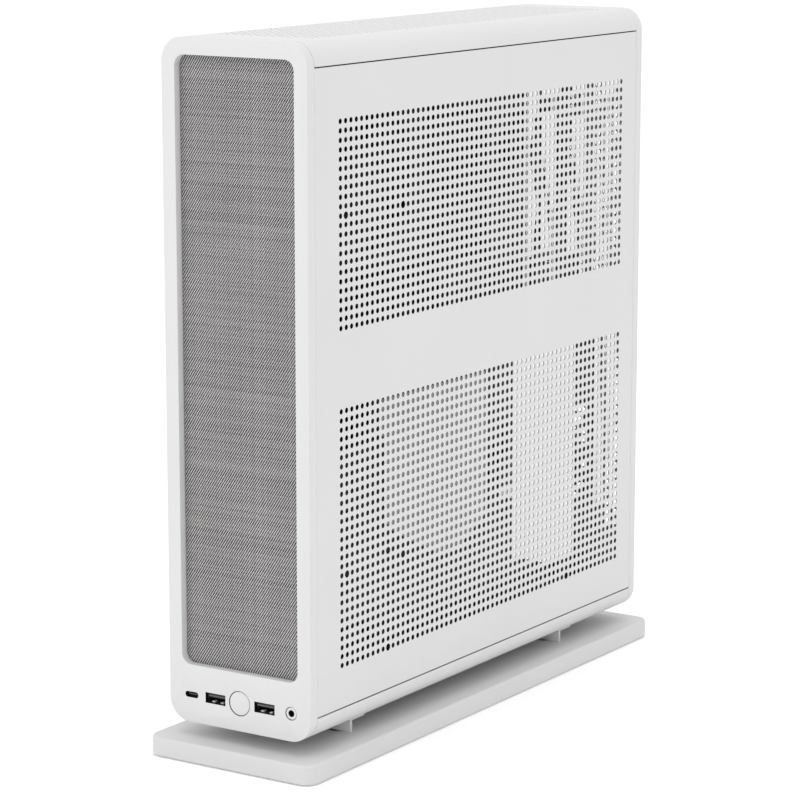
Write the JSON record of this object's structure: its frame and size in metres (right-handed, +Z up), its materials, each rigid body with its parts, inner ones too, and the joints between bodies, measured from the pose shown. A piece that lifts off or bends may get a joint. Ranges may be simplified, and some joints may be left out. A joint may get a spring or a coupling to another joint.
{
  "type": "desktop computer tower",
  "caption": "Slim upright desktop computer tower with perforated sides and a fabric front, standing on a flat base plate.",
  "frame": {"origin": "middle of the base plate's box on the surface that it stands on", "axes": "+X towards the perforated right side, -Y towards the fabric front, +Z up"},
  "size_m": [0.11, 0.374, 0.3948],
  "materials": {
    "painted_steel": "fine white powder coat, satin",
    "frame_steel": "white powder coat, satin",
    "white_plastic": "fine matte texture",
    "black_rubber": "matte",
    "grey_textile": "coarse two-tone weave",
    "white_filter": "fine white nylon mesh",
    "black_filter": "fine black nylon mesh",
    "black_plastic": "matte",
    "fan_grey": "satin",
    "circuit_board": "solder mask",
    "bright_steel": "nickel plated",
    "brass": "turned",
    "aluminium": "brushed",
    "black_steel": "fine black powder coat"
  },
  "bodies": {
    "case": {"base_plate": "painted_steel", "base_pads": "black_rubber", "stand_brackets": "painted_steel", "stand_screws": "bright_steel", "bottom_cover": "painted_steel", "top_cover": "painted_steel", "top_filter": "white_filter", "button_switch": "black_plastic", "front_io_board": "circuit_board", "usb_c_port": "bright_steel", "usb_a_ports": "bright_steel", "audio_jack": "white_plastic", "front_frame": "black_steel", "rear_panel": "painted_steel", "mid_shelf": "black_steel", "motherboard_tray": "black_steel", "board_standoffs": "brass", "motherboard": "circuit_board", "board_screws": "bright_steel", "io_shield": "bright_steel", "rear_io_ports": "bright_steel", "cpu_heatsink": "aluminium", "cpu_fan_frame": "black_plastic", "memory_modules": "circuit_board", "psu_bracket": "black_steel", "psu_housing": "black_steel", "psu_fan_frame": "black_plastic", "psu_fan_guard": "black_steel", "mains_inlet": "black_plastic", "mains_lead": "black_rubber", "board_power_cable": "black_rubber", "gpu_board": "circuit_board", "gpu_heatsink": "aluminium", "gpu_shroud": "black_plastic", "gpu_faceplate": "aluminium", "gpu_backplate": "black_steel", "gpu_slot_bracket": "bright_steel", "gpu_holder": "frame_steel", "riser_socket": "black_plastic", "riser_ribbon": "circuit_board", "fan_mount_plate": "black_steel", "case_fan_frames": "black_plastic", "slotted_bracket": "frame_steel", "ssd_drive": "aluminium"},
    "right_panel": {"side_panel_right": "painted_steel", "right_panel_studs": "bright_steel"},
    "left_panel": {"side_panel_left": "painted_steel", "left_panel_studs": "bright_steel", "left_filter": "black_filter"},
    "bezel": {"front_bezel": "white_plastic", "front_fabric": "grey_textile", "fabric_frame": "black_plastic"},
    "power_button": {"power_button": "white_plastic"},
    "cpu_fan": {"cpu_fan_rotor": "black_plastic"},
    "psu_fan": {"psu_fan_rotor": "black_plastic"},
    "psu_switch": {"psu_rocker": "black_plastic"},
    "gpu_fan_a": {"gpu_fan_front": "black_plastic"},
    "gpu_fan_b": {"gpu_fan_rear": "black_plastic"},
    "case_fan_a": {"case_fan_rotor_front": "fan_grey"},
    "case_fan_b": {"case_fan_rotor_rear": "fan_grey"}
  },
  "joints": [
    {"name": "right_panel_pull", "type": "slide", "parent": "case", "child": "right_panel", "axis": [1, 0, 0], "range_m": [0, 0.06]},
    {"name": "left_panel_pull", "type": "slide", "parent": "case", "child": "left_panel", "axis": [-1, 0, 0], "range_m": [0, 0.06]},
    {"name": "bezel_pull", "type": "slide", "parent": "case", "child": "bezel", "axis": [0, -1, 0], "range_m": [0, 0.05]},
    {"name": "power_press", "type": "slide", "parent": "bezel", "child": "power_button", "axis": [0, 1, 0], "range_m": [0, 0.001], "stiffness_N_per_m": 900, "springref_m": -0.0008},
    {"name": "cpu_fan_spin", "type": "hinge", "parent": "case", "child": "cpu_fan", "pos_m": [0, 0.08135, 0.299], "axis": [1, 0, 0], "continuous": true},
    {"name": "psu_fan_spin", "type": "hinge", "parent": "case", "child": "psu_fan", "pos_m": [0, -0.1005, 0.318], "axis": [1, 0, 0], "continuous": true},
    {"name": "gpu_fan_a_spin", "type": "hinge", "parent": "case", "child": "gpu_fan_a", "pos_m": [0, 0.066, 0.124], "axis": [1, 0, 0], "continuous": true},
    {"name": "gpu_fan_b_spin", "type": "hinge", "parent": "case", "child": "gpu_fan_b", "pos_m": [0, 0.134, 0.124], "axis": [1, 0, 0], "continuous": true},
    {"name": "case_fan_a_spin", "type": "hinge", "parent": "case", "child": "case_fan_a", "pos_m": [0, -0.076, 0.116], "axis": [1, 0, 0], "continuous": true},
    {"name": "case_fan_b_spin", "type": "hinge", "parent": "case", "child": "case_fan_b", "pos_m": [0, 0.068, 0.116], "axis": [1, 0, 0], "continuous": true},
    {"name": "psu_rocker_tilt", "type": "hinge", "parent": "case", "child": "psu_switch", "pos_m": [-0.0005, -0.071, 0.268], "axis": [1, 0, 0], "range_deg": [-16, 0]}
  ]
}
